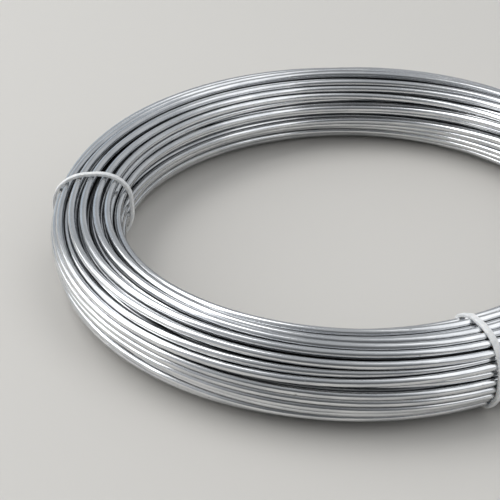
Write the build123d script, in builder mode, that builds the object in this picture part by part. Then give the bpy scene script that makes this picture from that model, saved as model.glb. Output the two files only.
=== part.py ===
"""A coil of galvanized wire, lying flat and held together by three nylon cable ties.

Millimetres, +Z up. The origin is on the axis of the coil, at the level that the coil
rests on. Angles round the coil start at +X and run anticlockwise, seen from above.
"""

from build123d import *
from math import copysign, cos, floor, pi, radians, sin
import os

# The bundle that the turns of wire are wound into
coil_mean_diameter = 210.0
bundle_width = 28.0
bundle_height = 31.0
bundle_corner_radius = 12.0
turn_spacing = 3.9
turn_groove_depth = 1.2

# The strap of a cable tie, wrapped round the bundle
strap_width = 2.2
strap_thickness = 1.3
strap_clearance = 0.1
bend_inner_radius = 0.4
tail_length = 0.7

# The moulded head of a cable tie, which locks the strap
head_width = 4.6
head_length = 5.0
head_height = 3.3
head_edge_chamfer = 0.5
fixed_wall = 1.5
slot_length = 2.3
slot_clearance = 0.15
pawl_width = 1.9
pawl_root_height = 1.1
pawl_tip_height = 0.5
pawl_bite = 0.05

# Where each tie sits round the coil, and where its head sits round the bundle: 0 is level on
# the inner side, below 0 is lower down, and past -90 is low on the outer side
tie_angles = {"tie_left": 168.0, "tie_front": 285.3, "tie_right": 28.0}
head_tilts = {"tie_left": -135.0, "tie_front": -22.0, "tie_right": -24.0}

bundle_radius = coil_mean_diameter / 2
bundle_middle = strap_thickness + strap_clearance + bundle_height / 2


def plane_across_bundle(angle):
    """A plane that cuts the bundle at an angle round the coil, with x outwards and y up."""
    outwards = Vector(cos(radians(angle)), sin(radians(angle)))
    return Plane(
        origin=outwards * bundle_radius + Vector(0, 0, bundle_middle),
        x_dir=outwards,
        z_dir=outwards.cross(Vector(0, 0, 1)),
    )


# The turns that show: one ridge each round the bundle's oval, with a groove after it
with BuildSketch() as bundle_oval:
    RectangleRounded(bundle_width, bundle_height, bundle_corner_radius)
oval = bundle_oval.sketch.faces()[0].outer_wire()
turns_that_show = floor(oval.length / turn_spacing)
step = oval.length / turns_that_show
ridges_and_grooves = []
for turn in range(turns_that_show):
    groove_place = (turn + 0.5) * step
    crest = oval.position_at(turn * step, position_mode=PositionMode.LENGTH)
    edge = oval.position_at(groove_place, position_mode=PositionMode.LENGTH)
    along = oval.tangent_at(groove_place, position_mode=PositionMode.LENGTH)
    inwards = Vector(0, 0, 1).cross(along)
    ridges_and_grooves += [crest, edge + inwards * turn_groove_depth]

with BuildPart() as wire_coil:
    with BuildSketch(plane_across_bundle(0)):
        with BuildLine():
            Polyline(*ridges_and_grooves, close=True)
        make_face()
    revolve(axis=Axis.Z)
wire_coil.part.label = "wire_coil"

os.makedirs("parts", exist_ok=True)
export_step(wire_coil.part, "parts/wire_coil.step")

# Places in a head's own plane, where x runs along the strap and y out from the bundle
slot_start = fixed_wall - head_length / 2
slot_end = slot_start + slot_length
tail_back = slot_end - slot_clearance
tail_front = tail_back - strap_thickness
slot_width = strap_width + 2 * slot_clearance
channel_height = strap_thickness + slot_clearance
strap_inner_radius = bundle_corner_radius + strap_clearance
strap_outer_radius = strap_inner_radius + strap_thickness
pawl_top = head_height - 2 * slot_clearance

for name, angle in tie_angles.items():
    section = plane_across_bundle(angle)
    tilt = radians(head_tilts[name])
    head_x = -copysign(bundle_width / 2 - bundle_corner_radius, cos(tilt)) - strap_inner_radius * cos(tilt)
    head_y = copysign(bundle_height / 2 - bundle_corner_radius, tilt) + strap_inner_radius * sin(tilt)
    head_place = Location((head_x, head_y, 0), (0, 0, 1), 90 - head_tilts[name])
    head_plane = Plane(section.location * head_place)

    with BuildPart() as tie:
        # The head is a block with a slot through it, and a channel that leads the strap in
        with BuildSketch(head_plane):
            Rectangle(head_length, head_height, align=(Align.CENTER, Align.MIN))
        extrude(amount=head_width / 2, both=True)
        outwards = Axis(head_plane.origin, head_plane.y_dir)
        upright_edges = edges().filter_by(outwards)
        outer_rim = faces().sort_by(outwards)[-1].edges()
        chamfer(upright_edges + outer_rim, head_edge_chamfer)
        with BuildSketch(head_plane):
            with Locations((slot_start, 0)):
                Rectangle(slot_length, head_height, align=(Align.MIN, Align.MIN))
            with Locations((slot_start, 0)):
                Rectangle(head_length, channel_height, align=(Align.MIN, Align.MIN))
        extrude(amount=slot_width / 2, both=True, mode=Mode.SUBTRACT)

        # The strap leaves the fixed wall, goes round the bundle and turns out into the slot
        with BuildSketch(section):
            RectangleRounded(
                bundle_width + 2 * (strap_clearance + strap_thickness),
                bundle_height + 2 * (strap_clearance + strap_thickness),
                strap_outer_radius,
            )
            RectangleRounded(
                bundle_width + 2 * strap_clearance,
                bundle_height + 2 * strap_clearance,
                strap_inner_radius,
                mode=Mode.SUBTRACT,
            )
            with Locations(head_place):
                with Locations((slot_start, 0)):
                    Rectangle(
                        tail_front - slot_start,
                        4 * strap_thickness,
                        align=(Align.MIN, Align.CENTER),
                        mode=Mode.SUBTRACT,
                    )
                with Locations((tail_front, strap_thickness / 2)):
                    Rectangle(
                        strap_thickness,
                        head_height + tail_length - strap_thickness / 2,
                        align=(Align.MIN, Align.MIN),
                    )
            bend_outside = (head_place * Location((tail_front, 0, 0))).position
            bend_inside = (head_place * Location((tail_back, strap_thickness, 0))).position
            fillet(
                vertices().sort_by_distance(bend_outside)[0],
                bend_inner_radius + strap_thickness,
            )
            fillet(vertices().sort_by_distance(bend_inside)[0], bend_inner_radius)
        extrude(amount=strap_width / 2, both=True)

        # The pawl leans from the fixed wall against the strap's end and holds it
        with BuildSketch(head_plane):
            with BuildLine():
                Polyline(
                    (slot_start - pawl_bite, channel_height),
                    (slot_start - pawl_bite, channel_height + pawl_root_height),
                    (tail_front + pawl_bite, pawl_top),
                    (tail_front + pawl_bite, pawl_top - pawl_tip_height),
                    close=True,
                )
            make_face()
        extrude(amount=pawl_width / 2, both=True)
    tie.part.label = name
    export_step(tie.part, f"parts/{name}.step")

print("turns that show round the bundle:", turns_that_show)
print("length of one turn, on average:", round(pi * coil_mean_diameter))
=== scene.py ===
# %% [markdown]
# # A coil of galvanized wire
#
# One long steel wire with a bright zinc coat is wound round and round into a fat ring,
# and three slim nylon ties keep the turns together. The ring lies flat on a pale floor.
# This lesson winds the wire for real: every turn is there, each lies against its
# neighbours instead of passing through them, and the ties squeeze them where they cross.

# %% Load the frame
import math

import bmesh
import bpy
import numpy as np
from mathutils import Matrix, Vector


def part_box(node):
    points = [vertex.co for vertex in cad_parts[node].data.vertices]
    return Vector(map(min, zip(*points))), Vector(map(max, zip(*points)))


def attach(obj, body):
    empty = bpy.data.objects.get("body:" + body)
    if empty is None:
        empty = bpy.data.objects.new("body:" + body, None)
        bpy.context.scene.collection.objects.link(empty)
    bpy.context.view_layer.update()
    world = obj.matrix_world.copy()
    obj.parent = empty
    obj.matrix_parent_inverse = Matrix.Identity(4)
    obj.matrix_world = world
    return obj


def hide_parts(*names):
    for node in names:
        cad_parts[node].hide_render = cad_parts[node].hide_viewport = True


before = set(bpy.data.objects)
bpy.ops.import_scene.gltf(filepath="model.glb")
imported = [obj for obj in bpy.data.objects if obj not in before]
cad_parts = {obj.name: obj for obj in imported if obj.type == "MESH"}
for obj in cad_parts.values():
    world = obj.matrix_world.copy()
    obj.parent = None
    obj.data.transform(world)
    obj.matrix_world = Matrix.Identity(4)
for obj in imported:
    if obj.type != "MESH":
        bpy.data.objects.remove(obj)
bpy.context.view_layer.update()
coil_low, coil_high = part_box("wire_coil")
print("pieces in the frame", len(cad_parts))

# %% [markdown]
# ## The sizes that everything follows
#
# The frame gives the outside of the bundle. The few sizes below are what it can't give:
# how thick the wire is, how the bundle is rounded and at how many stations each turn is
# followed. Lengths are in metres, as Blender has them, and the winding is worked out in
# the cut across the bundle: x points away from the middle of the ring and y points up.

# %% Driving sizes
MM = 0.001
WIRE_DIAMETER = 3.0 * MM
BUNDLE_WIDTH = 28.0 * MM
CORNER_RADIUS = 12.0 * MM
STATIONS = 112
ALMOST_NOTHING = 1e-9
TIE_NAMES = ("tie_left", "tie_front", "tie_right")

bundle_height = coil_high.z - coil_low.z
bundle_middle = (coil_high.z + coil_low.z) / 2
mean_radius = coil_high.x - BUNDLE_WIDTH / 2
wire_radius = WIRE_DIAMETER / 2


def tie_azimuth(name):
    """The angle round the coil, in radians, at which a tie sits."""
    low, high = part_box(name)
    middle = (low + high) / 2
    return math.atan2(middle.y, middle.x)


tie_azimuths = {name: tie_azimuth(name) for name in TIE_NAMES}
tie_degrees = [round(math.degrees(azimuth)) for azimuth in tie_azimuths.values()]
print("mean radius", round(mean_radius, 4), "ties at", tie_degrees)

# %% [markdown]
# ## The outline of the bundle
#
# The ties squeeze the bundle into a rounded oval. It could be measured off a mesh, but two
# radii and two straight sides describe it, so how far any point lies outside it is a short
# formula. The winding and the straps both use it.

# %% The bundle's oval
def oval_gap(x, y, inset):
    """How far points lie outside the bundle's oval, drawn smaller by the inset, and which way is out."""
    radius = CORNER_RADIUS - inset
    past_x = np.abs(x) - (BUNDLE_WIDTH / 2 - CORNER_RADIUS)
    past_y = np.abs(y) - (bundle_height / 2 - CORNER_RADIUS)
    out_x = np.maximum(past_x, 0)
    out_y = np.maximum(past_y, 0)
    reach = np.hypot(out_x, out_y)
    gap = reach + np.minimum(np.maximum(past_x, past_y), 0) - radius
    safe = np.maximum(reach, ALMOST_NOTHING)
    return gap, np.sign(x) * out_x / safe, np.sign(y) * out_y / safe


middle_gap = oval_gap(np.zeros(1), np.zeros(1), 0)[0][0]
print("the middle of the bundle lies", round(-middle_gap / MM, 1), "mm inside its oval")

# %% [markdown]
# ## Give every turn its place
#
# On the real coil a machine lays turn after turn in nested rows, and the last few turns lie
# loose along the top. The cut across the bundle shows this best: rows packed like oranges
# fill the oval from below, and the last turns step along the arch of its top, well apart.

# %% Places of the nested turns
ROW_PITCH_ALONG = 1.05 * WIRE_DIAMETER
ROW_PITCH_UP = ROW_PITCH_ALONG * math.sqrt(3) / 2
ROW_REACH = 12
EDGE_ALLOWANCE = 0.1 * WIRE_DIAMETER
TOP_CLEAR_DEPTH = 2.0 * MM
TOP_CLEAR_INNER = 5.0 * MM
TOP_CLEAR_OUTER = 8.5 * MM


def nested_places():
    """Places in nested rows from the bottom up, below the top turns. The last row ends on the outer side."""
    rows = []
    y = wire_radius - bundle_height / 2
    while y < bundle_height / 2:
        xs = (np.arange(-ROW_REACH, ROW_REACH + 1) + 0.5 * (len(rows) % 2)) * ROW_PITCH_ALONG
        gap, _, _ = oval_gap(xs, np.full_like(xs, y), wire_radius)
        under_top = (y < np.where(xs > 0, TOP_CLEAR_OUTER, TOP_CLEAR_INNER)) | (gap < -TOP_CLEAR_DEPTH)
        xs = xs[(gap < EDGE_ALLOWANCE) & under_top]
        if len(xs):
            rows.append(np.column_stack([xs, np.full_like(xs, y)]))
        y += ROW_PITCH_UP
    return np.vstack([row if (len(rows) - k) % 2 else row[::-1] for k, row in enumerate(rows)])


turn_places = nested_places()
NESTED_TURNS = len(turn_places)
print("nested turns", NESTED_TURNS)

# %% Places along the top
TOP_TURNS = 6
TOP_PITCH = 4.7 * MM
TOP_ARCH_START = 3.0 * MM
ARCH_POINTS = 60


def on_arch(stops):
    """Places at some distances along the arch of the bundle's top, from the outer side to the inner."""
    radius = CORNER_RADIUS - wire_radius
    middle_x = BUNDLE_WIDTH / 2 - CORNER_RADIUS
    middle_y = bundle_height / 2 - CORNER_RADIUS
    quarter = np.linspace(0, math.pi / 2, ARCH_POINTS)
    outer = np.column_stack([middle_x + radius * np.cos(quarter), middle_y + radius * np.sin(quarter)])
    arch = np.vstack([outer, outer[::-1] * (-1, 1)])
    reach = np.concatenate([[0], np.cumsum(np.linalg.norm(np.diff(arch, axis=0), axis=1))])
    return np.column_stack([np.interp(stops, reach, arch[:, 0]), np.interp(stops, reach, arch[:, 1])])


turn_places = np.vstack([turn_places, on_arch([TOP_ARCH_START])])
FULL_TURNS = NESTED_TURNS + TOP_TURNS
print("full turns", FULL_TURNS)

# %% [markdown]
# ## Let the bundle change on its way round
#
# A real bundle isn't the same all round, and four soft changes by angle show it. Each turn
# could be drawn by hand, but a value that swells and fades round one place bends all the
# turns together, and none of them gets a kink. The first three changes are small: the top
# turns close up towards the front tie, the turns below them have settled beside the left
# tie and leave dark gaps, and the bundle lies a little wider there.

# %% A soft swelling round one place
def swell(azimuth, place, reach):
    """A value that is 1 at a place round the coil and fades softly to 0 within a reach, both in degrees."""
    apart = np.abs((azimuth - math.radians(place) + math.pi) % (2 * math.pi) - math.pi)
    near = np.clip(1 - apart / math.radians(reach), 0, 1)
    return near**2 * (3 - 2 * near)


print("a swelling half way out of its reach", swell(math.radians(45), 0, 90))

# %% Where the top turns close up
GATHER = 0.24
GATHER_AZIMUTH = 285
GATHER_REACH = 95
GATHER_STOP = 25 * MM


def top_places(turns_on_top, azimuth):
    """Places of the top turns on the arch: even steps apart, but closer together towards the front tie."""
    stops = TOP_ARCH_START + TOP_PITCH * turns_on_top
    gathered = GATHER * swell(azimuth, GATHER_AZIMUTH, GATHER_REACH)
    return on_arch(stops + gathered * (GATHER_STOP - stops))


print("top turns lie", round(TOP_PITCH / MM, 1), "mm apart")
print("and towards the front tie", round(TOP_PITCH * (1 - GATHER) / MM, 1), "mm")

# %% Hollow below the top turns
SINK_DEPTH = 2.6 * MM
SINK_AZIMUTH = 178
SINK_REACH = 46


def sink_below_top(azimuth, y):
    """How far the turns below the top ones have settled away from them, beside the left tie."""
    return SINK_DEPTH * swell(azimuth, SINK_AZIMUTH, SINK_REACH) * np.clip(y / (bundle_height / 2), 0, 1)


deepest = sink_below_top(math.radians(SINK_AZIMUTH), bundle_height / 2)
print("settled beside the left tie", round(deepest / MM, 1), "mm")

# %% Where the ring is squashed wider
SPREAD = 0.06
SPREAD_AZIMUTH = 172
SPREAD_REACH = 60


def spread_at(azimuth):
    """How many times wider than elsewhere the bundle lies, beside the left tie."""
    return 1 + SPREAD * swell(azimuth, SPREAD_AZIMUTH, SPREAD_REACH)


widest = BUNDLE_WIDTH * spread_at(tie_azimuths["tie_left"])
print("width at the left tie", round(widest / MM, 1), "mm")

# %% [markdown]
# The fourth change is the one that shows most. A bundle that was lifted off its reel is
# twisted: its turns climb from the inner side over the top to the outer side. So the whole
# cut is turned round its own middle, one way from the back to the front, and back again
# over the rest of the ring, because the wire has to meet itself.

# %% Twist of the bundle
TWIST = math.radians(32)
TWIST_FROM = math.radians(85)
TWIST_TO = math.radians(315)


def twist_at(azimuth):
    """How far the bundle is turned round its own middle: one way to the front, and then back again."""
    past = (azimuth - TWIST_FROM) % (2 * math.pi)
    span = TWIST_TO - TWIST_FROM
    there = np.clip(past / span, 0, 1)
    back = np.clip((past - span) / (2 * math.pi - span), 0, 1)
    return TWIST * (1 - 2 * there**2 * (3 - 2 * there) + 2 * back**2 * (3 - 2 * back))


print("twist at the ties", [round(math.degrees(twist_at(azimuth))) for azimuth in tie_azimuths.values()])

# %% [markdown]
# ## Bend the wire
#
# Turns modelled as perfect rings would look like a spring. A drawn wire keeps small bends of
# its own, so each turn wanders a little about its place. Noise by the point would make it
# crooked. A few random knots with a smooth line through them stay as gentle as stiff wire.

# %% Bends of the wire
SEED = 7
WANDER = 1.3 * MM
TOP_WANDER = 1.5 * MM
TOP_CALM = 0.75
UPWARD_SHARE = 0.7
WANDER_STATIONS = 17
random = np.random.default_rng(SEED)


def smooth_wander(count, amplitude):
    """A smooth random line through that many stations, for the bends that a wire keeps."""
    knots = random.normal(0, 1, count // WANDER_STATIONS + 4)
    # Places stop short of the last three knots, so that every station has four to blend
    place = np.linspace(0, len(knots) - 3.001, count)
    first = place.astype(int)
    t = place - first
    # The weights of a smooth cubic line
    weights = (
        (1 - t) ** 3,
        3 * t**3 - 6 * t**2 + 4,
        -3 * t**3 + 3 * t**2 + 3 * t + 1,
        t**3,
    )
    return amplitude * sum(w * knots[first + k] for k, w in enumerate(weights)) / 6


station_step = 2 * math.pi * mean_radius / STATIONS
print("the wire changes its bend every", round(WANDER_STATIONS * station_step / MM), "mm")

# %% Stiffness of the wire
STIFFNESS = 0.7


def ease_bends(line, kept_bends, span):
    """Relaxes a line towards the bends that the wire keeps. Sixteenths keep it from overshooting."""
    off = line - kept_bends
    bend = off[: -2 * span] - 2 * off[span:-span] + off[2 * span :]
    change = bend[: -2 * span] - 2 * bend[span:-span] + bend[2 * span :]
    line[2 * span : -2 * span] -= STIFFNESS / 16 * change


kinked = np.zeros(9)
kinked[4] = 1
ease_bends(kinked, np.zeros(9), 1)
print("a kink of 1 is eased in one step to", round(kinked[4], 2))

# %% Hold of the ties
SPRING_BACK = 0.6 * MM
HOLD_REACH = 30


def slack_at(azimuth):
    """How far the turns may spring out of the oval: nothing at a tie, and most well away from one."""
    held = [swell(azimuth, math.degrees(tie), HOLD_REACH) for tie in tie_azimuths.values()]
    return SPRING_BACK * (1 - np.maximum.reduce(held))


held_and_free = slack_at(np.array([tie_azimuths["tie_left"], math.pi / 2]))
print("slack at a tie and away from it", held_and_free / MM, "mm")

# %% [markdown]
# ## Wind the wire
#
# Now the wire is followed from its first turn to its last. On its way round, each turn passes
# from its own place to the next one. Then all the turns push each other apart until they
# only just touch, while the ties hold them in. A physics simulation could do the same, but
# turns that push each other in one cut at a time settle in seconds and always end the same.

# %% Lay the turns
START_AZIMUTH = math.radians(40)
END_STATIONS = 8
FAR_OFF = 1.0

wire_stations = FULL_TURNS * STATIONS + END_STATIONS
azimuths = START_AZIMUTH - np.arange((FULL_TURNS + 1) * STATIONS) / STATIONS * 2 * math.pi
wire_azimuth = azimuths[:wire_stations]


def lay_turns():
    """Where each station of the wire would like to lie in the cut, before the turns push each other."""
    along = np.arange(wire_stations) / STATIONS
    step = (along % 1)[:, None]
    turn = np.minimum(along.astype(int), NESTED_TURNS - 1)
    places = turn_places[turn] * (1 - step) + turn_places[turn + 1] * step
    top = along >= NESTED_TURNS
    places[top] = top_places(along[top] - NESTED_TURNS, wire_azimuth[top])
    twist = twist_at(wire_azimuth)
    x = places[:, 0] * np.cos(twist) - places[:, 1] * np.sin(twist)
    y = places[:, 0] * np.sin(twist) + places[:, 1] * np.cos(twist)
    on_top = along > NESTED_TURNS - 1
    calm = TOP_CALM * swell(wire_azimuth, SINK_AZIMUTH, SINK_REACH)
    amplitude = np.where(on_top, TOP_WANDER * (1 - calm), WANDER)
    x += smooth_wander(wire_stations, amplitude)
    y += smooth_wander(wire_stations, UPWARD_SHARE * amplitude)
    y -= np.where(on_top, 0, sink_below_top(wire_azimuth, y))
    return x, y


laid_x, laid_y = lay_turns()
print("laid", wire_stations, "stations, up to", round(laid_y.max() / MM, 1), "mm above the middle")

# %% Push the turns apart
ROUNDS = 300
PUSHES_A_ROUND = 2
EASING_SPANS = (6, 3, 1)
SPACING = 1.01 * WIRE_DIAMETER
PUSH_SHARE = 0.42
HOLD_SHARE = 0.9


def push_apart(turns_x, turns_y, slack):
    """Pushes turns that are too close apart, and back into the oval and off the floor."""
    apart_x = turns_x[:, None, :] - turns_x[None, :, :]
    apart_y = turns_y[:, None, :] - turns_y[None, :, :]
    apart = np.sqrt(apart_x**2 + apart_y**2) + ALMOST_NOTHING
    push = PUSH_SHARE * np.maximum(SPACING - apart, 0) / apart
    turns_x += (apart_x * push).sum(1)
    turns_y += (apart_y * push).sum(1)
    gap, out_x, out_y = oval_gap(turns_x, turns_y, wire_radius)
    over = HOLD_SHARE * np.maximum(gap - slack, 0)
    turns_x -= over * out_x
    turns_y -= over * out_y
    np.maximum(turns_y, wire_radius - bundle_middle, out=turns_y)
    return apart


def settle_turns():
    """Lets the turns push and the wire ease in turn, and gives their final places in the cut."""
    # The stations past the wire's end are kept far off, where they push nothing
    all_x = np.full((FULL_TURNS + 1) * STATIONS, FAR_OFF)
    all_y = all_x.copy()
    all_x[:wire_stations] = laid_x
    all_y[:wire_stations] = laid_y
    turns_x = all_x.reshape(-1, STATIONS)
    turns_y = all_y.reshape(-1, STATIONS)
    slack = slack_at(azimuths).reshape(-1, STATIONS)
    for _ in range(ROUNDS):
        for span in EASING_SPANS:
            ease_bends(all_x[:wire_stations], laid_x, span)
            ease_bends(all_y[:wire_stations], laid_y, span)
        for _ in range(PUSHES_A_ROUND):
            apart = push_apart(turns_x, turns_y, slack)
            all_x[wire_stations:] = FAR_OFF
            all_y[wire_stations:] = FAR_OFF
    # How far a turn lies from itself doesn't count
    apart += FAR_OFF * np.eye(FULL_TURNS + 1)[:, :, None]
    closest = np.quantile(apart.min(1).ravel()[:wire_stations] / WIRE_DIAMETER, (0, 0.01, 0.5))
    print("next turn, in wire diameters: least, nearly least and half way", closest.round(3))
    turns_x *= spread_at(azimuths).reshape(-1, STATIONS)
    return turns_x, turns_y


cut_x, cut_y = settle_turns()

# %% The wire's path in space
wire_out = mean_radius + cut_x.ravel()[:wire_stations]
wire_path = np.column_stack(
    [
        wire_out * np.cos(wire_azimuth),
        wire_out * np.sin(wire_azimuth),
        bundle_middle + cut_y.ravel()[:wire_stations],
    ]
)
station_gaps = np.linalg.norm(np.diff(wire_path, axis=0), axis=1)
wire_top = wire_path[:, 2].max() + wire_radius
print("the wire is", round(station_gaps.sum(), 1), "m long and reaches up to", round(wire_top / MM, 1), "mm")

# %% [markdown]
# ## Give the wire its thickness
#
# A curve with a round bevel is the simple way to turn a line into a wire, and it could stay
# a curve. It is made a mesh at once, because two things are then stored on its points: where
# a point would be if the wire were pulled straight, for the lines that drawing the wire
# leaves in its zinc, and how far the other turns shelter it, for the painted shade that
# darkens the zinc between them, where they hide each other from the light.

# %% Make the wire
SIDES = 12

wire_curve = bpy.data.curves.new("wire", "CURVE")
wire_curve.dimensions = "3D"
wire_spline = wire_curve.splines.new("POLY")
wire_spline.points.add(wire_stations - 1)
wire_spline.points.foreach_set("co", np.column_stack([wire_path, np.ones(wire_stations)]).ravel())
wire_curve.bevel_depth = wire_radius
wire_curve.bevel_resolution = (SIDES - 4) // 2
wire_holder = bpy.data.objects.new("wire_holder", wire_curve)
bpy.context.scene.collection.objects.link(wire_holder)
wire_mesh = bpy.data.meshes.new_from_object(wire_holder.evaluated_get(bpy.context.evaluated_depsgraph_get()))
bpy.data.objects.remove(wire_holder)
wire = bpy.data.objects.new("wire", wire_mesh)
bpy.context.scene.collection.objects.link(wire)
print("wire vertices", len(wire_mesh.vertices), "for", wire_stations, "stations of", SIDES)

# %% Where each point of the wire faces, in the cut across the bundle
corners = np.empty(len(wire_mesh.vertices) * 3)
wire_mesh.vertices.foreach_get("co", corners)
rings = corners.reshape(wire_stations, SIDES, 3) - wire_path[:, None, :]
facing_x = rings[:, :, 0] * np.cos(wire_azimuth)[:, None] + rings[:, :, 1] * np.sin(wire_azimuth)[:, None]
facing_y = rings[:, :, 2]
print("points lie", round(np.hypot(facing_x, facing_y).mean() / MM, 2), "mm off the wire's middle")


# %% A store for values on the wire
def store_on_wire(name, kind, key, values):
    """Stores a value for each point of the wire, as its materials read it."""
    layer = wire_mesh.attributes.new(name, kind, "POINT")
    layer.data.foreach_set(key, np.ravel(values).astype(np.float32))
    print("stored", name, "on", len(layer.data), "points")


# %% The wire pulled straight
FOLD = 1.0

# The run goes to and fro within a metre, so that every noise is read close to 0
run = np.concatenate([[0], np.cumsum(station_gaps)])
folded_run = np.abs((run + FOLD) % (2 * FOLD) - FOLD)
straight = np.stack([np.repeat(folded_run[:, None], SIDES, axis=1), facing_x, facing_y], axis=2)
store_on_wire("straightened", "FLOAT_VECTOR", "vector", straight)

# %% [markdown]
# ## How deep each point lies
#
# Blender could bake how much light reaches the wire into a picture, but that takes long
# and needs a map of the whole wire. The cut across the bundle already tells where every
# turn lies. So a few looks out from a point show how much of what it faces is other wire,
# and the room to the nearest turn shows where two of them touch. That much shade is then
# painted into the zinc's colour.

# %% Painted shade between the turns
LOOKS = np.radians([-75, -50, -25, 0, 25, 50, 75])
CREVICE = 0.5 * MM
COVER_REACH = 1.2 * wire_radius
COVER_FADE = 0.4 * wire_radius
FAR_PAINTED_SHADE = 0.6


def crevice_at(to_x, to_y, own):
    """How close the nearest other turn lies to each point: 1 where they touch, 0 past a small gap."""
    room = np.hypot(to_x, to_y) - wire_radius
    room[own] = FAR_OFF
    return np.clip(1 - room.min(2) / CREVICE, 0, 1)


def sky_blocked_at(to_x, to_y, own, way_x, way_y):
    """How much of what each point faces is other turns, from 0 to 1."""
    blocked = np.zeros(way_x.shape)
    for look in LOOKS:
        look_x = (way_x * math.cos(look) - way_y * math.sin(look))[:, :, None]
        look_y = (way_x * math.sin(look) + way_y * math.cos(look))[:, :, None]
        ahead = to_x * look_x + to_y * look_y
        beside = np.abs(to_x * look_y - to_y * look_x)
        covers = np.clip((COVER_REACH - beside) / COVER_FADE, 0, 1) * (ahead > 0)
        covers[own] = 0
        blocked += covers.max(2) * math.cos(look)
    return blocked / np.cos(LOOKS).sum()


def painted_shade_at(station):
    """How much shade is painted on each point between the turns, from 0 to 1, at one station of every turn.
    """
    turns = slice(station, wire_stations, STATIONS)
    way_x, way_y = facing_x[turns] / wire_radius, facing_y[turns] / wire_radius
    count = len(way_x)
    own = (np.arange(count), slice(None), np.arange(count))
    centre_x, centre_y = cut_x[:, station], cut_y[:, station]
    to_x = centre_x - (centre_x[:count, None] + facing_x[turns])[:, :, None]
    to_y = centre_y - (centre_y[:count, None] + facing_y[turns])[:, :, None]
    blocked = sky_blocked_at(to_x, to_y, own, way_x, way_y)
    return np.maximum(crevice_at(to_x, to_y, own), FAR_PAINTED_SHADE * blocked**3)


# Painted shade: how much each point of the zinc is darkened where the other turns hide it from the light
painted_shade = np.empty((wire_stations, SIDES))
for station in range(STATIONS):
    painted_shade[station::STATIONS] = painted_shade_at(station)
store_on_wire("painted_shade", "FLOAT", "value", painted_shade)
print("shelter, mean and most", round(painted_shade.mean(), 2), round(painted_shade.max(), 2))

# %% [markdown]
# ## Cut the ends
#
# The wire was nipped off with cutters at both ends. A disc could be set on each end, but one
# face that fills the open end keeps the wire a single closed piece. Its rim gets a small
# bevel, as the cutters leave it, and the face gets a second material, because a cut shows
# the bare steel inside the zinc.

# %% Cut ends
CUT_BEVEL = 0.3 * MM

wire_bm = bmesh.new()
wire_bm.from_mesh(wire_mesh)
open_ends = [edge for edge in wire_bm.edges if edge.is_boundary]
cut_faces = bmesh.ops.holes_fill(wire_bm, edges=open_ends, sides=0)["faces"]
for face in cut_faces:
    face.material_index = 1
    face.smooth = False
rims = list({edge for face in cut_faces for edge in face.edges})
bmesh.ops.bevel(wire_bm, geom=rims, offset=CUT_BEVEL, segments=2, profile=0.5, affect="EDGES", material=-1)
bmesh.ops.recalc_face_normals(wire_bm, faces=wire_bm.faces)
wire_bm.to_mesh(wire_mesh)
open_edges = sum(not edge.is_manifold for edge in wire_bm.edges)
wire_triangles = sum(len(face.verts) - 2 for face in wire_bm.faces)
wire_bm.free()
print("cut ends", len(cut_faces), "open edges", open_edges, "triangles", wire_triangles)

# %% [markdown]
# ## Helpers for materials
#
# Every finish here is made of a few kinds of node: soft noise, a ramp and a blend of two
# colours. Nodes can be placed by hand in the editor, but with a small helper for each kind,
# a finish reads like a recipe.

# %% Helpers that add nodes
def add_node(tree, kind, inputs=None, **settings):
    """Adds a node with its settings, and fills its inputs with values or with other nodes' outputs."""
    made = tree.nodes.new(kind)
    for key, value in settings.items():
        setattr(made, key, value)
    for key, value in (inputs or {}).items():
        if isinstance(value, bpy.types.NodeSocket):
            tree.links.new(value, made.inputs[key])
        else:
            made.inputs[key].default_value = value
    return made


def new_material(name):
    """A new material, with its node tree and its shader's inputs."""
    material = bpy.data.materials.new(name)
    material.use_nodes = True
    print("started the material", name)
    return material, material.node_tree, material.node_tree.nodes["Principled BSDF"].inputs


# %% Helpers that mix
def cloud(tree, place, scale, detail, stretch=(1, 1, 1)):
    """Noise from 0 to 1 on a place, finer with a larger scale and drawn out by a stretch below 1."""
    mapping = add_node(tree, "ShaderNodeMapping", {"Vector": place, "Scale": stretch})
    noise = {"Vector": mapping.outputs["Vector"], "Scale": scale, "Detail": detail}
    return add_node(tree, "ShaderNodeTexNoise", noise).outputs["Fac"]


def ramp(tree, value, start, end, low=0.0, high=1.0):
    """A value that passes softly from low to high while another goes from start to end."""
    inputs = {"Value": value, "From Min": start, "From Max": end, "To Min": low, "To Max": high}
    return add_node(tree, "ShaderNodeMapRange", inputs, interpolation_type="SMOOTHSTEP").outputs["Result"]


def blend_colours(tree, factor, first, second):
    """A colour that goes from the first to the second with a factor."""
    node = add_node(tree, "ShaderNodeMix", {"Factor": factor}, data_type="RGBA")
    for socket, value in ((node.inputs[6], first), (node.inputs[7], second)):
        if isinstance(value, bpy.types.NodeSocket):
            tree.links.new(value, socket)
        else:
            socket.default_value = (*value, 1)
    return node.outputs[2]


def add_up(tree, *values):
    """The sum of some values."""
    total = values[0]
    for value in values[1:]:
        total = add_node(tree, "ShaderNodeMath", {0: total, 1: value}, operation="ADD").outputs["Value"]
    return total


# %% [markdown]
# ## Zinc finish
#
# Galvanized wire is drawn through a die and dipped in zinc. The coat is bright, with faint
# lines along the wire, cloudy patches a little duller than the rest and a few small dull
# specks. Between the turns, where they hide each other from the light, shade is painted in
# near black. A picture wrapped round the wire would show a seam, so everything reads the
# straightened wire, and the pattern follows each turn round the coil.

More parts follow.
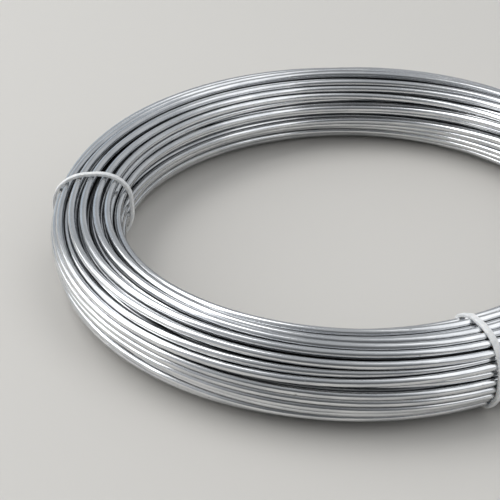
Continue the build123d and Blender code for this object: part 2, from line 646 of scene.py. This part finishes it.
# %% Patterns in the zinc
zinc, tree, shader = new_material("zinc_coat")
straightened = add_node(tree, "ShaderNodeAttribute", attribute_name="straightened").outputs["Vector"]
painted_shade_value = add_node(tree, "ShaderNodeAttribute", attribute_name="painted_shade").outputs["Fac"]
patches = cloud(tree, straightened, 260, 3, (0.3, 1, 1))
drawn_lines = cloud(tree, straightened, 3200, 2, (0.006, 1, 1))
slow_waves = cloud(tree, straightened, 130, 1, (0.5, 1, 1))
specks = ramp(tree, cloud(tree, straightened, 900, 2, (0.5, 1, 1)), 0.70, 0.76)
# Painted shade: how far the zinc goes to near black, from how deep a point lies between the turns
in_painted_shade = ramp(tree, painted_shade_value, 0.12, 0.65)
print("nodes for the patterns", len(tree.nodes))

# %% Colour and gloss of the zinc
ZINC_BRIGHT = (0.80, 0.81, 0.82)
ZINC_CLOUDY = (0.66, 0.675, 0.695)
ZINC_SPECK = (0.46, 0.46, 0.455)
# Painted shade: the near black of the zinc where the turns hide each other from the light
ZINC_PAINTED_SHADE = (0.07, 0.073, 0.078)

coat = blend_colours(tree, ramp(tree, patches, 0.35, 0.65), ZINC_BRIGHT, ZINC_CLOUDY)
coat = blend_colours(tree, ramp(tree, drawn_lines, 0.3, 0.7, 0.0, 0.16), coat, ZINC_CLOUDY)
coat = blend_colours(tree, specks, coat, ZINC_SPECK)
# The painted shade darkens the coat between the turns
coat = blend_colours(tree, in_painted_shade, coat, ZINC_PAINTED_SHADE)
tree.links.new(coat, shader["Base Color"])
gloss = add_up(
    tree,
    ramp(tree, patches, 0.35, 0.65, 0.12, 0.20),
    ramp(tree, drawn_lines, 0.3, 0.7, 0.0, 0.04),
    ramp(tree, specks, 0.0, 1.0, 0.0, 0.2),
    ramp(tree, in_painted_shade, 0.0, 1.0, 0.0, 0.25),
)
tree.links.new(gloss, shader["Roughness"])
shader["Metallic"].default_value = 1.0
print("nodes with the colour", len(tree.nodes))

# %% Relief of the zinc
LINE_DEPTH = 0.006 * MM
WAVE_DEPTH = 0.08 * MM

lines_relief = {"Height": drawn_lines, "Strength": 1.0, "Distance": LINE_DEPTH}
lined = add_node(tree, "ShaderNodeBump", lines_relief).outputs["Normal"]
waves_relief = {"Height": slow_waves, "Normal": lined, "Strength": 1.0, "Distance": WAVE_DEPTH}
waved = add_node(tree, "ShaderNodeBump", waves_relief).outputs["Normal"]
tree.links.new(waved, shader["Normal"])
print("nodes in all", len(tree.nodes))

# %% [markdown]
# ## Cut steel
#
# Cutters leave a torn, darker face at each end of the wire. It is too small for more than
# one noise, which gives it colour, gloss and relief together.

# %% Cut steel material
STEEL_BRIGHT = (0.50, 0.49, 0.48)
STEEL_DARK = (0.24, 0.22, 0.20)
TORN_DEPTH = 0.1 * MM

cut_steel, tree, shader = new_material("cut_steel")
place = add_node(tree, "ShaderNodeTexCoord").outputs["Object"]
torn = cloud(tree, place, 2500, 3)
tree.links.new(blend_colours(tree, torn, STEEL_BRIGHT, STEEL_DARK), shader["Base Color"])
tree.links.new(ramp(tree, torn, 0.3, 0.7, 0.3, 0.5), shader["Roughness"])
shader["Metallic"].default_value = 1.0
bump = add_node(tree, "ShaderNodeBump", {"Height": torn, "Strength": 1.0, "Distance": TORN_DEPTH})
tree.links.new(bump.outputs["Normal"], shader["Normal"])

# %% Put the wire in its place
wire_mesh.materials.clear()
wire_mesh.materials.append(zinc)
wire_mesh.materials.append(cut_steel)
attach(wire, "root")
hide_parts("wire_coil")
print(wire.name, "has the finishes", [material.name for material in wire_mesh.materials])

# %% [markdown]
# ## The cable ties
#
# A cable tie is moulded flat in nylon: a strap with small teeth across its inner face, and a
# head with a slot and a springy pawl in it. It could be drawn in its bent shape, but the teeth
# are simpler to make on a straight strap. So the strap is made flat, as the mould has it, and
# only then is it wrapped: it follows the turns that it really lies on, goes through the
# channel under its head, turns out through the slot and ends where it was snipped off.

# %% Sizes of a tie
STRAP_WIDTH = 2.2 * MM
STRAP_THICKNESS = 1.3 * MM
STRAP_CLEARANCE = 0.08 * MM
STRAP_STIFFNESS = {"tie_left": 0.8, "tie_front": 0.1, "tie_right": 0.6}
STRAP_EDGE = 0.28 * MM
BEND_RADIUS = 0.9 * MM
TOOTH_PITCH = 0.9 * MM
TOOTH_DEPTH = 0.2 * MM
TOOTH_INSET = 0.12 * MM
TAIL_LENGTH = 0.7 * MM
HEAD_LENGTH = 5.0 * MM
HEAD_WIDTH = 4.6 * MM
HEAD_HEIGHT = 3.3 * MM
HEAD_EDGE = 0.5 * MM
SLOT_FROM = -1.0 * MM
SLOT_TO = 1.3 * MM
SLOT_WIDTH = 2.5 * MM
CHANNEL_HEIGHT = 1.45 * MM
ROOT_BITE = 0.6 * MM
HEAD_TILTS = {"tie_left": math.radians(-135), "tie_front": math.radians(-22), "tie_right": math.radians(-24)}
print("the slot leaves the strap", round((SLOT_WIDTH - STRAP_WIDTH) / 2 / MM, 2), "mm at each side")


# %% The turns at a tie
def turns_at(azimuth):
    """Where the middles of the turns lie in the cut across the bundle at an angle round the coil."""
    station = (START_AZIMUTH - azimuth) / (2 * math.pi) % 1 * STATIONS
    part = station % 1
    first = np.arange(int(station), wire_stations - 1, STATIONS)
    middles = np.column_stack([cut_x.ravel(), cut_y.ravel()])
    return middles[first] * (1 - part) + middles[first + 1] * part


print("turns at the ties", [len(turns_at(azimuth)) for azimuth in tie_azimuths.values()])


# %% The line round the turns
LINE_STEP = 0.5 * MM
LINE_EASINGS = 6


def even_line(points, spacing):
    """Points at even steps along a line through some points."""
    reach = np.concatenate([[0], np.cumsum(np.linalg.norm(np.diff(points, axis=0), axis=1))])
    stops = np.linspace(0, reach[-1], round(reach[-1] / spacing) + 1)
    return np.column_stack([np.interp(stops, reach, points[:, k]) for k in (0, 1)])


def line_round_turns(name, offset):
    """The line of a strap held off the turns: partly the bundle's oval, partly the hull of the turns."""
    middles = turns_at(tie_azimuths[name])
    ways = np.radians(np.arange(0, 360, 2))
    ways = np.column_stack([np.cos(ways), np.sin(ways)])
    outermost = middles[np.argmax(ways @ middles.T, axis=1)] + ways * wire_radius
    flats = np.array([BUNDLE_WIDTH / 2 - CORNER_RADIUS, bundle_height / 2 - CORNER_RADIUS])
    oval = np.sign(ways.round(6)) * flats + ways * CORNER_RADIUS
    oval[:, 0] *= spread_at(tie_azimuths[name])
    stiffness = STRAP_STIFFNESS[name]
    line = stiffness * oval + (1 - stiffness) * outermost + ways * offset
    line = even_line(np.vstack([line, line[:1]]), LINE_STEP)[:-1]
    for _ in range(LINE_EASINGS):
        line = (np.roll(line, 1, axis=0) + 2 * line + np.roll(line, -1, axis=0)) / 4
    return line


lines = {name: line_round_turns(name, STRAP_CLEARANCE) for name in TIE_NAMES}
print("points on the lines round the turns", [len(line) for line in lines.values()])


# %% The route of a strap
BEND_POINTS = 9


def head_seat(name):
    """Where a head sits on its line: the line from there, the middle of its base, the ways along and out."""
    line = lines[name]
    towards = np.array([-math.cos(HEAD_TILTS[name]), math.sin(HEAD_TILTS[name])])
    line = np.roll(line, -int(np.argmax(line @ towards)), axis=0)
    half = round(HEAD_LENGTH / 2 / np.linalg.norm(line[1] - line[0]))
    along = (line[-half] - line[half]) / np.linalg.norm(line[-half] - line[half])
    out = np.array([-along[1], along[0]])
    covered = np.vstack([line[-half:], line[: half + 1]])
    return line, (covered @ along).mean() * along + (covered @ out).max() * out, along, out


def strap_route(name):
    """The inner face of the strap, from its root in the head, round the turns and out through the slot."""
    line, base, along, out = head_seat(name)
    beside_head = (line - base) @ along
    opposite = (line - base) @ out < -HEAD_LENGTH
    root = beside_head < ROOT_BITE - HEAD_LENGTH / 2
    round_turns = line[opposite | root | (beside_head > HEAD_LENGTH / 2)]
    turn_angles = np.linspace(0, math.pi / 2, BEND_POINTS)
    # The strap turns away from the wire, so its inner face takes the wider side of the bend
    wide_bend = BEND_RADIUS + STRAP_THICKNESS / 2
    turn_x = SLOT_TO - STRAP_THICKNESS + wide_bend * (1 - np.sin(turn_angles))
    turn_out = wide_bend * (1 - np.cos(turn_angles))
    turned = np.column_stack([turn_x, turn_out])
    turned = np.vstack([turned, (turn_x[-1], HEAD_HEIGHT + TAIL_LENGTH)])
    return np.vstack([round_turns, base + turned[:, :1] * along + turned[:, 1:] * out])


routes = {name: strap_route(name) for name in TIE_NAMES}
strap_lengths = {name: np.linalg.norm(np.diff(routes[name], axis=0), axis=1).sum() for name in TIE_NAMES}
print("straps in mm", [round(length / MM, 1) for length in strap_lengths.values()])


# %% The flat strap
def flat_strap(length):
    """A strap as it is moulded: long along x, thick along z, with teeth across its underside."""
    bm = bmesh.new()
    pieces = 2 * round(length / TOOTH_PITCH)
    bmesh.ops.create_grid(bm, x_segments=pieces, y_segments=1, size=0.5)
    bmesh.ops.scale(bm, vec=(length, STRAP_WIDTH, 1), verts=bm.verts)
    bmesh.ops.translate(bm, vec=(length / 2, 0, 0), verts=bm.verts)
    bmesh.ops.solidify(bm, geom=list(bm.faces), thickness=STRAP_THICKNESS)
    lowest = min(vert.co.z for vert in bm.verts)
    bmesh.ops.translate(bm, vec=(0, 0, -lowest), verts=bm.verts)
    # The long edges run along the strap, at its two sides
    long_edges = [
        edge
        for edge in bm.edges
        if all(abs(vert.co.y) > 0.49 * STRAP_WIDTH for vert in edge.verts)
        and abs(edge.verts[0].co.x - edge.verts[1].co.x) > 0.1 * TOOTH_PITCH
    ]
    bmesh.ops.bevel(
        bm, geom=long_edges, offset=STRAP_EDGE, segments=3, profile=0.5, affect="EDGES", material=-1
    )
    bm.normal_update()
    under = [
        face
        for face in bm.faces
        if face.normal.z < -0.9 and face.calc_center_median().z < 0.1 * STRAP_THICKNESS
    ]
    under.sort(key=lambda face: face.calc_center_median().x)
    # Every other face of the underside is pushed in, which leaves a tooth on each side of it
    bmesh.ops.inset_individual(bm, faces=under[::2], thickness=TOOTH_INSET, depth=-TOOTH_DEPTH)
    return bm


sample = flat_strap(10 * TOOTH_PITCH)
print("a strap with ten teeth has", len(sample.faces), "faces")
sample.free()

# %% Wrap a flat strap round the turns
TIE_SKEWS = {"tie_left": 0.19, "tie_front": 0.08, "tie_right": -0.1}
RIGID_NEAR_HEAD = (3 * MM, 9 * MM)


def into_bundle(name, x, y, across, base):
    """A place in space, from one in the cut at a tie and across the strap. Ties sit a little askew."""
    start, end = RIGID_NEAR_HEAD
    free = min(max((math.hypot(x - base[0], y - base[1]) - start) / (end - start), 0), 1)
    askew = TIE_SKEWS[name] * (base[0] + (x - base[0]) * free * free * (3 - 2 * free))
    reach = mean_radius + x
    azimuth = tie_azimuths[name] + (across + askew) / reach
    return Vector((reach * math.cos(azimuth), reach * math.sin(azimuth), bundle_middle + y))


def wrap_strap(bm, name, base):
    """Moves each point of a flat strap to its place along its route, across it and out from it."""
    route = routes[name]
    reach = np.concatenate([[0], np.cumsum(np.linalg.norm(np.diff(route, axis=0), axis=1))])
    ways = np.gradient(route, reach, axis=0)
    ways /= np.linalg.norm(ways, axis=1)[:, None]
    for vert in bm.verts:
        along, across, out = vert.co
        x, y, way_x, way_y = (np.interp(along, reach, column) for column in (*route.T, *ways.T))
        vert.co = into_bundle(name, x + way_y * out, y - way_x * out, across, base)


print("ties lean by", [round(math.degrees(math.atan(skew))) for skew in TIE_SKEWS.values()], "degrees")

# %% [markdown]
# ## The head of a tie
#
# The head is the skilled part of a cable tie. The strap enters by a channel along its base
# and turns out through its slot, and a pawl that leans from the fixed wall presses on it, so
# it can be pulled tighter but never back. The holes could be built face by face. Cutting
# them out of a rounded block is simpler and leaves crisp edges, as a mould does.

# %% The head's block and holes
def block(x_from, x_to, width, z_from, z_to, edge=0.0):
    """A block between two places along a head, with rounded edges where an edge size is given."""
    bm = bmesh.new()
    bmesh.ops.create_cube(bm, size=1)
    bmesh.ops.scale(bm, vec=(x_to - x_from, width, z_to - z_from), verts=bm.verts)
    bmesh.ops.translate(bm, vec=((x_from + x_to) / 2, 0, (z_from + z_to) / 2), verts=bm.verts)
    if edge:
        bmesh.ops.bevel(
            bm, geom=list(bm.edges), offset=edge, segments=3, profile=0.5, affect="EDGES", material=-1
        )
    mesh = bpy.data.meshes.new("block")
    bm.to_mesh(mesh)
    bm.free()
    made = bpy.data.objects.new("block", mesh)
    bpy.context.scene.collection.objects.link(made)
    return made


def moulded_head():
    """The mesh of a head on its base: a rounded block, less the slot through it and the channel into it."""
    head = block(-HEAD_LENGTH / 2, HEAD_LENGTH / 2, HEAD_WIDTH, 0, HEAD_HEIGHT, HEAD_EDGE)
    # Both cutters reach past the head, so that they cut clean through its faces
    slot = block(SLOT_FROM, SLOT_TO, SLOT_WIDTH, -MM, HEAD_HEIGHT + MM)
    channel = block(SLOT_FROM, HEAD_LENGTH, SLOT_WIDTH, -MM, CHANNEL_HEIGHT)
    for cutter in (slot, channel):
        cut = head.modifiers.new("cut", "BOOLEAN")
        cut.operation = "DIFFERENCE"
        cut.solver = "EXACT"
        cut.object = cutter
    depsgraph = bpy.context.evaluated_depsgraph_get()
    mesh = bpy.data.meshes.new_from_object(head.evaluated_get(depsgraph))
    for scrap in (head, slot, channel):
        bpy.data.objects.remove(scrap)
    return mesh


head_mesh = moulded_head()
print("head faces", len(head_mesh.polygons))

# %% The pawl
PAWL_WIDTH = 1.9 * MM
PAWL_ROOT = (1.5 * MM, 2.6 * MM)
PAWL_TIP = (2.5 * MM, 2.95 * MM)
PAWL_IN_WALL = 0.05 * MM
PAWL_IN_STRAP = 0.02 * MM
PAWL_REACH = (SLOT_FROM - PAWL_IN_WALL, SLOT_TO - STRAP_THICKNESS + PAWL_IN_STRAP)


def add_pawl(bm):
    """Adds a pawl to a head: thick at the fixed wall, and leaning out to a thin tip on the strap."""
    for vert in bmesh.ops.create_cube(bm, size=1)["verts"]:
        at_tip = vert.co.x > 0
        low, high = PAWL_TIP if at_tip else PAWL_ROOT
        vert.co = (PAWL_REACH[at_tip], vert.co.y * PAWL_WIDTH, high if vert.co.z > 0 else low)


print("the pawl spans", round((PAWL_REACH[1] - PAWL_REACH[0]) / MM, 2), "mm of the slot")


# %% Put each tie together
SHARP_ANGLE = math.radians(40)


def make_tie(name):
    """A whole tie as one object: its wrapped strap, with the head and its pawl seated on it."""
    _, base, along, out = head_seat(name)
    bm = flat_strap(strap_lengths[name])
    wrap_strap(bm, name, base)
    strap_verts = len(bm.verts)
    bm.from_mesh(head_mesh)
    add_pawl(bm)
    bm.verts.ensure_lookup_table()
    for vert in bm.verts[strap_verts:]:
        x, across, height = vert.co
        place = base + x * along + height * out
        vert.co = into_bundle(name, place[0], place[1], across, base)
    bmesh.ops.recalc_face_normals(bm, faces=bm.faces)
    mesh = bpy.data.meshes.new(name.replace("tie_", "cable_tie_"))
    bm.to_mesh(mesh)
    open_edges = sum(not edge.is_manifold for edge in bm.edges)
    bm.free()
    mesh.shade_smooth()
    mesh.set_sharp_from_angle(angle=SHARP_ANGLE)
    made = bpy.data.objects.new(mesh.name, mesh)
    bpy.context.scene.collection.objects.link(made)
    print(made.name, "faces", len(mesh.polygons), "open edges", open_edges)
    return made


ties = {name: make_tie(name) for name in TIE_NAMES}
for name, tie in ties.items():
    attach(tie, "root")
    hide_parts(name)

# %% [markdown]
# ## Nylon finish
#
# Natural nylon is a milky white that lets a little light in. The mould leaves it smooth, with
# a faint cloudiness, and handling scuffs it in small places. It could be painted on the
# strap's length as the zinc is, but all of it is the same in every direction, so it simply
# reads the place in space.

# %% Nylon material
NYLON_WHITE = (0.92, 0.925, 0.92)
NYLON_GREY = (0.80, 0.815, 0.82)
LIGHT_DEPTH = 0.6 * MM
SCUFF_DEPTH = 0.03 * MM

nylon, tree, shader = new_material("white_nylon")
place = add_node(tree, "ShaderNodeTexCoord").outputs["Object"]
milky = cloud(tree, place, 700, 3)
scuffs = cloud(tree, place, 2600, 4)
white = blend_colours(tree, ramp(tree, milky, 0.35, 0.7), NYLON_WHITE, NYLON_GREY)
white = blend_colours(tree, ramp(tree, scuffs, 0.6, 0.72, 0.0, 0.5), white, NYLON_GREY)
tree.links.new(white, shader["Base Color"])
tree.links.new(ramp(tree, scuffs, 0.4, 0.7, 0.3, 0.5), shader["Roughness"])
shader["Subsurface Weight"].default_value = 0.15
shader["Subsurface Radius"].default_value = (1.0, 0.9, 0.8)
shader["Subsurface Scale"].default_value = LIGHT_DEPTH
bump = add_node(tree, "ShaderNodeBump", {"Height": scuffs, "Strength": 1.0, "Distance": SCUFF_DEPTH})
tree.links.new(bump.outputs["Normal"], shader["Normal"])
for tie in ties.values():
    tie.data.materials.append(nylon)
print("nylon on", [tie.name for tie in ties.values()])

# %% [markdown]
# ## Stage, light and camera
#
# The coil lies on a plain pale floor. Bright metal shows what is round it more than its own
# colour, so the light matters most. Large soft windows stand to the left, a dimmer one to
# the right and a faint cool one low down at the back, in a grey room that is darkest on the
# side of the camera. A single lamp would be simpler, but then each turn would show one hard
# line of light.

# %% Floor
FLOOR_REACH = 6
FLOOR_COLOUR = (0.665, 0.645, 0.61, 1)

floor_bm = bmesh.new()
bmesh.ops.create_grid(floor_bm, x_segments=1, y_segments=1, size=FLOOR_REACH)
floor_mesh = bpy.data.meshes.new("floor")
floor_bm.to_mesh(floor_mesh)
floor_bm.free()
floor = bpy.data.objects.new("floor", floor_mesh)
bpy.context.scene.collection.objects.link(floor)
pale_finish, _, shader = new_material("pale_floor")
shader["Base Color"].default_value = FLOOR_COLOUR
shader["Roughness"].default_value = 0.7
floor_mesh.materials.append(pale_finish)
print("floor", [round(side) for side in floor.dimensions], "m")

# %% Camera
CAMERA_HEADING = math.radians(5.87)
CAMERA_PITCH = math.radians(32.4)
CAMERA_ROLL = math.radians(-1.37)
CAMERA_AZIMUTH = math.radians(259.5)
CAMERA_REACH = 499.4 * MM
CAMERA_HEIGHT = 318.1 * MM
CAMERA_LENS = 103.3
CAMERA_SENSOR = 36

camera_data = bpy.data.cameras.new("camera")
camera_data.lens = CAMERA_LENS
camera_data.sensor_width = CAMERA_SENSOR
camera = bpy.data.objects.new("camera", camera_data)
bpy.context.scene.collection.objects.link(camera)
camera_place = Matrix.Translation(
    (CAMERA_REACH * math.cos(CAMERA_AZIMUTH), CAMERA_REACH * math.sin(CAMERA_AZIMUTH), CAMERA_HEIGHT)
)
turn_to = Matrix.Rotation(-CAMERA_HEADING, 4, "Z")
tilt_down = Matrix.Rotation(math.pi / 2 - CAMERA_PITCH, 4, "X")
roll = Matrix.Rotation(CAMERA_ROLL, 4, "Z")
camera.matrix_world = camera_place @ turn_to @ tilt_down @ roll
bpy.context.scene.camera = camera
bpy.context.scene.view_settings.view_transform = "Standard"
print("camera", round(camera_place.translation.length, 2), "m from the middle of the coil")


# %% Directions in the studio
def studio_direction(bearing, elevation):
    """A direction by its bearing from the right of the picture and its height, both in degrees."""
    turned = math.radians(bearing) + CAMERA_AZIMUTH - math.radians(270)
    raised = math.radians(elevation)
    level = math.cos(raised)
    return Vector((math.cos(turned) * level, math.sin(turned) * level, math.sin(raised)))


print("the left of the picture is towards", [round(part, 2) for part in studio_direction(180, 0)])

# %% Room light
ROOM_COLOUR = (0.97, 1.0, 1.035, 1)

world = bpy.data.worlds.new("studio")
bpy.context.scene.world = world
world.use_nodes = True
room = world.node_tree
looking = add_node(room, "ShaderNodeTexCoord").outputs["Generated"]


def room_side(toward, start, end, low, high):
    """A value that passes softly from low to high as the room is looked at further towards a side."""
    side = add_node(room, "ShaderNodeVectorMath", {0: looking, 1: toward}, operation="DOT_PRODUCT")
    return ramp(room, side.outputs["Value"], start, end, low, high)


pale_wall = room_side(studio_direction(0, 0), 0.0, 0.3, 0.42, 0.52)
camera_side = room_side(studio_direction(270, 18), 0.62, 0.94, 1.0, 0.3)
strength = add_node(room, "ShaderNodeMath", {0: pale_wall, 1: camera_side}, operation="MULTIPLY")
room.links.new(strength.outputs["Value"], room.nodes["Background"].inputs["Strength"])
room.nodes["Background"].inputs["Color"].default_value = ROOM_COLOUR
print("room nodes", len(room.nodes))


# %% Soft window light
WINDOW_DISTANCE = 1.5
COOL = (0.6, 0.95, 1.3)


def add_window(name, low_end, high_end, width, radiance, tint=(1, 1, 1)):
    """A rectangular soft light that faces the coil and reaches from one direction to another."""
    low, high = studio_direction(*low_end), studio_direction(*high_end)
    length = 2 * WINDOW_DISTANCE * math.tan(low.angle(high) / 2)
    data = bpy.data.lights.new(name, "AREA")
    data.shape = "RECTANGLE"
    data.size = length
    data.size_y = width
    data.energy = radiance * math.pi * length * width
    data.color = tint
    light = bpy.data.objects.new(name, data)
    bpy.context.scene.collection.objects.link(light)
    back = (low + high).normalized()
    along = (high - low).normalized()
    facing = Matrix((along, back.cross(along), back)).transposed().to_4x4()
    light.matrix_world = Matrix.Translation(back * WINDOW_DISTANCE) @ facing
    print(name, "is", round(length, 2), "m long and gives", round(data.energy, 1), "W")


add_window("window_left", (195, 14), (129, 67), width=0.8, radiance=2.5)
add_window("window_low", (186, 13), (146, 24), width=0.45, radiance=1.7)
add_window("window_high", (150, 44), (120, 50), width=0.45, radiance=2.0)
add_window("window_right", (314, 23), (68, 66), width=0.85, radiance=0.78)
add_window("window_back", (104, 14), (138, 14), width=0.5, radiance=0.2, tint=COOL)
